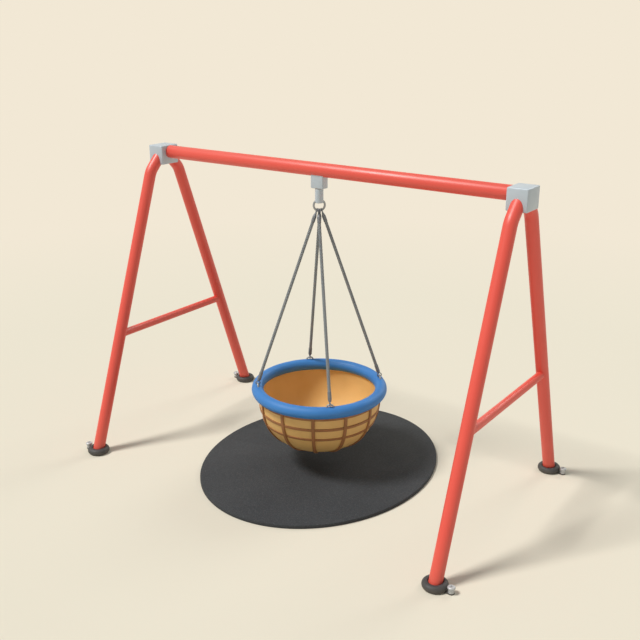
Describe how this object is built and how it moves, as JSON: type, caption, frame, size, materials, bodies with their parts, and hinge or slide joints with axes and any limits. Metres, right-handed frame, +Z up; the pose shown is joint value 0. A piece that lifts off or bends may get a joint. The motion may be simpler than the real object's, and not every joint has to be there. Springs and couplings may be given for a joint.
{
  "type": "nest swing set",
  "caption": "Nest swing: a bent-tube A-frame carries a swivel head, a ring and taut ropes that hold a padded round basket over an oval safety mat.",
  "frame": {"origin": "on the ground, below the middle of the top beam and the centre of the basket", "axes": "+X along the top beam towards the right A-frame, +Y towards the rear legs, +Z up"},
  "size_m": [3.484, 2.146, 2.4534],
  "materials": {
    "red_powder_coat": "satin powder coat",
    "cast_aluminium": "matt blasted casting",
    "galvanised_steel": "galvanised",
    "bearing_bronze": "machined",
    "stainless_steel": "machined",
    "grey_rope": "braided",
    "blue_foam_cover": "soft matt cover",
    "tan_moulding": "matt moulding",
    "brown_strip": "matt strip",
    "black_rubber": "matt",
    "mat_rubber": "matt granulate"
  },
  "bodies": {
    "frame": {"top_beam": "red_powder_coat", "corner_casting_left": "cast_aluminium", "corner_casting_right": "cast_aluminium", "leg_front_left": "red_powder_coat", "leg_front_right": "red_powder_coat", "leg_rear_left": "red_powder_coat", "leg_rear_right": "red_powder_coat", "cross_brace_left": "red_powder_coat", "cross_brace_right": "red_powder_coat", "foot_collar_front_left": "black_rubber", "foot_collar_front_right": "black_rubber", "foot_collar_rear_left": "black_rubber", "foot_collar_rear_right": "black_rubber", "anchor_bolt_front_left": "galvanised_steel", "anchor_bolt_front_right": "galvanised_steel", "anchor_bolt_rear_left": "galvanised_steel", "anchor_bolt_rear_right": "galvanised_steel", "safety_mat": "mat_rubber", "swivel_housing": "cast_aluminium", "spindle_bush": "bearing_bronze", "thrust_race_lower": "stainless_steel"},
    "swivel": {"swivel_spindle": "cast_aluminium", "thrust_cage": "bearing_bronze", "thrust_race_upper": "stainless_steel", "spindle_nut": "stainless_steel"},
    "ring": {"suspension_ring": "stainless_steel"},
    "basket": {"rope_head_front": "stainless_steel", "rope_head_rear": "stainless_steel", "rope_head_left": "stainless_steel", "rope_head_right": "stainless_steel", "rope_front": "grey_rope", "rope_rear": "grey_rope", "rope_left": "grey_rope", "rope_right": "grey_rope", "rope_foot_front": "stainless_steel", "rope_foot_rear": "stainless_steel", "rope_foot_left": "stainless_steel", "rope_foot_right": "stainless_steel", "rim_core": "stainless_steel", "rim_padding": "blue_foam_cover", "bowl_shell": "tan_moulding", "hoop_upper": "brown_strip", "hoop_middle": "brown_strip", "hoop_lower": "brown_strip", "rib_01": "brown_strip", "rib_02": "brown_strip", "rib_03": "brown_strip", "rib_04": "brown_strip", "rib_05": "brown_strip", "rib_06": "brown_strip", "rib_07": "brown_strip", "rib_08": "brown_strip", "rib_09": "brown_strip", "rib_10": "brown_strip", "rib_11": "brown_strip", "rib_12": "brown_strip", "bowl_boss": "brown_strip"}
  },
  "joints": [
    {"name": "swivel_spin", "type": "hinge", "parent": "frame", "child": "swivel", "pos_m": [0, 0, 2.262], "axis": [0, 0, 1], "continuous": true},
    {"name": "ring_roll", "type": "hinge", "parent": "swivel", "child": "ring", "pos_m": [0, 0, 2.1347], "axis": [0.7071, -0.7071, 0], "range_deg": [-32, 32]},
    {"name": "basket_tilt", "type": "hinge", "parent": "ring", "child": "basket", "pos_m": [0, 0, 2.09297], "axis": [0.7071, 0.7071, 0], "range_deg": [-32, 32]}
  ]
}
